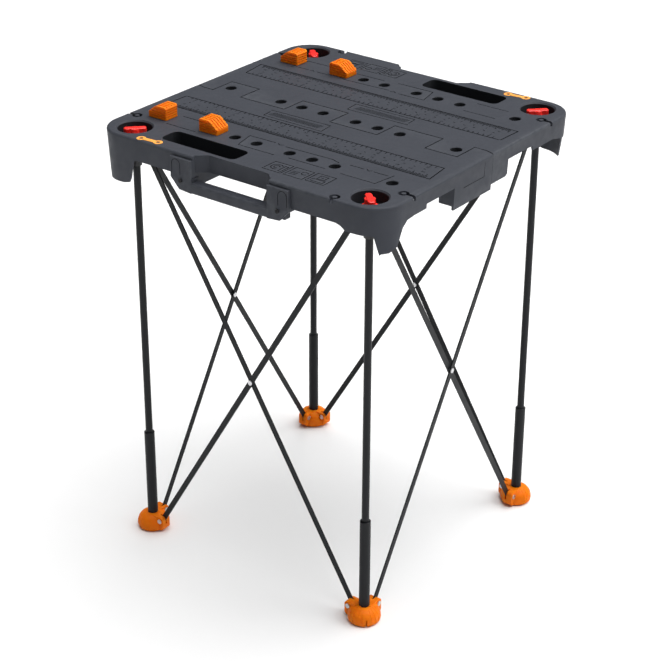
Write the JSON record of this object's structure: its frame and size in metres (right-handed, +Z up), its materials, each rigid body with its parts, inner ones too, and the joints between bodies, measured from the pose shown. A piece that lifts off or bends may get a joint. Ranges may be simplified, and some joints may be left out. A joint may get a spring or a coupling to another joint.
{
  "type": "folding work table",
  "caption": "Folding work table with a two-part top, bench dogs, carry handles and a scissor-braced frame of telescoping posts.",
  "frame": {"origin": "on the floor, under the middle of the top", "axes": "+Z up, +X along the seam between the top halves, -Y towards the handle of half a"},
  "size_m": [0.6036, 0.5988, 0.823],
  "materials": {
    "deck": "fine-textured dark slate grey moulding",
    "orange": "satin orange moulding",
    "link": "satin light orange moulding",
    "red": "semi-gloss red moulding",
    "leg_paint": "satin black powder coat",
    "brace_paint": "satin black powder coat",
    "hub_plastic": "black moulding",
    "black_screw": "black-coated steel",
    "steel": "zinc-plated steel"
  },
  "bodies": {
    "post_1_lower": {"foot_1": "orange", "leg_sleeve_1": "leg_paint", "foot_rivets_1": "steel"},
    "post_1_upper": {"leg_tube_1": "leg_paint", "leg_hub_1": "hub_plastic", "hub_rivets_1": "steel"},
    "brace_outer_1": {"brace_outer_1": "brace_paint", "cross_rivet_1": "steel"},
    "brace_inner_1": {"brace_inner_1": "brace_paint"},
    "lock_1": {"lock_knob_1": "red", "lock_bolt_1": "steel"},
    "dog_1": {"bench_dog_1": "orange"},
    "post_2_lower": {"foot_2": "orange", "leg_sleeve_2": "leg_paint", "foot_rivets_2": "steel"},
    "post_2_upper": {"leg_tube_2": "leg_paint", "leg_hub_2": "hub_plastic", "hub_rivets_2": "steel"},
    "brace_outer_2": {"brace_outer_2": "brace_paint", "cross_rivet_2": "steel"},
    "brace_inner_2": {"brace_inner_2": "brace_paint"},
    "lock_2": {"lock_knob_2": "red", "lock_bolt_2": "steel"},
    "dog_2": {"bench_dog_2": "orange"},
    "post_3_lower": {"foot_3": "orange", "leg_sleeve_3": "leg_paint", "foot_rivets_3": "steel"},
    "post_3_upper": {"leg_tube_3": "leg_paint", "leg_hub_3": "hub_plastic", "hub_rivets_3": "steel"},
    "brace_outer_3": {"brace_outer_3": "brace_paint", "cross_rivet_3": "steel"},
    "brace_inner_3": {"brace_inner_3": "brace_paint"},
    "lock_3": {"lock_knob_3": "red", "lock_bolt_3": "steel"},
    "dog_3": {"bench_dog_3": "orange"},
    "post_4_lower": {"foot_4": "orange", "leg_sleeve_4": "leg_paint", "foot_rivets_4": "steel"},
    "post_4_upper": {"leg_tube_4": "leg_paint", "leg_hub_4": "hub_plastic", "hub_rivets_4": "steel"},
    "brace_outer_4": {"brace_outer_4": "brace_paint", "cross_rivet_4": "steel"},
    "brace_inner_4": {"brace_inner_4": "brace_paint"},
    "lock_4": {"lock_knob_4": "red", "lock_bolt_4": "steel"},
    "dog_4": {"bench_dog_4": "orange"},
    "top_a": {"deck_a": "deck", "handle_a": "deck", "handle_screws_a": "black_screw", "hinge_pin_1": "steel"},
    "top_b": {"deck_b": "deck", "handle_b": "deck", "handle_screws_b": "black_screw", "hinge_pin_2": "steel"},
    "link_a": {"link_a": "link"},
    "link_b": {"link_b": "link"}
  },
  "joints": [
    {"name": "pack_up", "type": "slide", "parent": "post_1_upper", "child": "top_a", "axis": [-0.207, -0.0644, 0.9762], "range_m": [0, 1.0244]},
    {"name": "top_fold", "type": "hinge", "parent": "top_a", "child": "top_b", "pos_m": [0, 0, 0.73], "axis": [-1, 0, 0], "range_deg": [0, 180.09]},
    {"name": "foot_1_outer_brace", "type": "hinge", "parent": "post_1_lower", "child": "brace_outer_1", "pos_m": [-0.22, -0.247, 0.022], "axis": [0, -1, 0], "range_deg": [0, 29.93]},
    {"name": "cross_1", "type": "hinge", "parent": "brace_outer_1", "child": "brace_inner_1", "pos_m": [0, -0.247, 0.38825], "axis": [0, -1, 0], "range_deg": [-59.87, 0]},
    {"name": "inner_brace_1_foot_2", "type": "hinge", "parent": "brace_inner_1", "child": "post_2_lower", "pos_m": [0.22, -0.247, 0.022], "axis": [0, -1, 0], "range_deg": [0, 29.93]},
    {"name": "outer_brace_1_hub_2", "type": "hinge", "parent": "brace_outer_1", "child": "post_2_upper", "pos_m": [0.22, -0.247, 0.7545], "axis": [0, -1, 0], "range_deg": [-29.93, 0]},
    {"name": "inner_brace_1_hub_1", "type": "hinge", "parent": "brace_inner_1", "child": "post_1_upper", "pos_m": [-0.22, -0.247, 0.7545], "axis": [0, -1, 0], "range_deg": [0, 29.93]},
    {"name": "foot_2_outer_brace", "type": "hinge", "parent": "post_2_lower", "child": "brace_outer_2", "pos_m": [0.247, -0.22, 0.022], "axis": [1, 0, 0], "range_deg": [0, 29.93]},
    {"name": "cross_2", "type": "hinge", "parent": "brace_outer_2", "child": "brace_inner_2", "pos_m": [0.247, 0, 0.38825], "axis": [1, 0, 0], "range_deg": [-59.87, 0]},
    {"name": "inner_brace_2_foot_3", "type": "hinge", "parent": "brace_inner_2", "child": "post_3_lower", "pos_m": [0.247, 0.22, 0.022], "axis": [1, 0, 0], "range_deg": [0, 29.93]},
    {"name": "outer_brace_2_hub_3", "type": "hinge", "parent": "brace_outer_2", "child": "post_3_upper", "pos_m": [0.247, 0.22, 0.7545], "axis": [1, 0, 0], "range_deg": [-29.93, 0]},
    {"name": "foot_3_outer_brace", "type": "hinge", "parent": "post_3_lower", "child": "brace_outer_3", "pos_m": [0.22, 0.247, 0.022], "axis": [0, 1, 0], "range_deg": [0, 29.93]},
    {"name": "cross_3", "type": "hinge", "parent": "brace_outer_3", "child": "brace_inner_3", "pos_m": [0, 0.247, 0.38825], "axis": [0, 1, 0], "range_deg": [-59.87, 0]},
    {"name": "inner_brace_3_foot_4", "type": "hinge", "parent": "brace_inner_3", "child": "post_4_lower", "pos_m": [-0.22, 0.247, 0.022], "axis": [0, 1, 0], "range_deg": [0, 29.93]},
    {"name": "outer_brace_3_hub_4", "type": "hinge", "parent": "brace_outer_3", "child": "post_4_upper", "pos_m": [-0.22, 0.247, 0.7545], "axis": [0, 1, 0], "range_deg": [-29.93, 0]},
    {"name": "foot_4_outer_brace", "type": "hinge", "parent": "post_4_lower", "child": "brace_outer_4", "pos_m": [-0.247, 0.22, 0.022], "axis": [-1, 0, 0], "range_deg": [0, 29.93]},
    {"name": "cross_4", "type": "hinge", "parent": "brace_outer_4", "child": "brace_inner_4", "pos_m": [-0.247, 0, 0.38825], "axis": [-1, 0, 0], "range_deg": [-59.87, 0]},
    {"name": "lock_turn_1", "type": "hinge", "parent": "top_a", "child": "lock_1", "pos_m": [-0.247, -0.247, 0.78], "axis": [0, 0, 1], "range_deg": [0, 90]},
    {"name": "lock_turn_2", "type": "hinge", "parent": "top_a", "child": "lock_2", "pos_m": [0.247, -0.247, 0.78], "axis": [0, 0, 1], "range_deg": [0, 90]},
    {"name": "lock_turn_3", "type": "hinge", "parent": "top_b", "child": "lock_3", "pos_m": [0.247, 0.247, 0.78], "axis": [0, 0, 1], "range_deg": [0, 90]},
    {"name": "lock_turn_4", "type": "hinge", "parent": "top_b", "child": "lock_4", "pos_m": [-0.247, 0.247, 0.78], "axis": [0, 0, 1], "range_deg": [0, 90]},
    {"name": "dog_lift_1", "type": "slide", "parent": "top_a", "child": "dog_1", "axis": [0, 0, 1], "range_m": [0, 0.045]},
    {"name": "dog_lift_2", "type": "slide", "parent": "top_a", "child": "dog_2", "axis": [0, 0, 1], "range_m": [0, 0.045]},
    {"name": "dog_lift_3", "type": "slide", "parent": "top_b", "child": "dog_3", "axis": [0, 0, 1], "range_m": [0, 0.045]},
    {"name": "dog_lift_4", "type": "slide", "parent": "top_b", "child": "dog_4", "axis": [0, 0, 1], "range_m": [0, 0.045]},
    {"name": "link_lift_a", "type": "slide", "parent": "top_a", "child": "link_a", "axis": [0, 0, 1], "range_m": [0, 0.03]},
    {"name": "link_lift_b", "type": "slide", "parent": "top_b", "child": "link_b", "axis": [0, 0, 1], "range_m": [0, 0.03]}
  ],
  "couplings": [
    {"joint": "top_fold", "follows": "pack_up", "rad_per_m": 3.0668},
    {"joint": "foot_1_outer_brace", "follows": "pack_up", "rad_per_m": 0.50976},
    {"joint": "cross_1", "follows": "pack_up", "rad_per_m": -1.0195},
    {"joint": "inner_brace_1_foot_2", "follows": "pack_up", "rad_per_m": 0.50976},
    {"joint": "outer_brace_1_hub_2", "follows": "pack_up", "rad_per_m": -0.50976},
    {"joint": "inner_brace_1_hub_1", "follows": "pack_up", "rad_per_m": 0.50976},
    {"joint": "foot_2_outer_brace", "follows": "pack_up", "rad_per_m": 0.50976},
    {"joint": "cross_2", "follows": "pack_up", "rad_per_m": -1.0195},
    {"joint": "inner_brace_2_foot_3", "follows": "pack_up", "rad_per_m": 0.50976},
    {"joint": "outer_brace_2_hub_3", "follows": "pack_up", "rad_per_m": -0.50976},
    {"joint": "foot_3_outer_brace", "follows": "pack_up", "rad_per_m": 0.50976},
    {"joint": "cross_3", "follows": "pack_up", "rad_per_m": -1.0195},
    {"joint": "inner_brace_3_foot_4", "follows": "pack_up", "rad_per_m": 0.50976},
    {"joint": "outer_brace_3_hub_4", "follows": "pack_up", "rad_per_m": -0.50976},
    {"joint": "foot_4_outer_brace", "follows": "pack_up", "rad_per_m": 0.50976},
    {"joint": "cross_4", "follows": "pack_up", "rad_per_m": -1.0195}
  ]
}
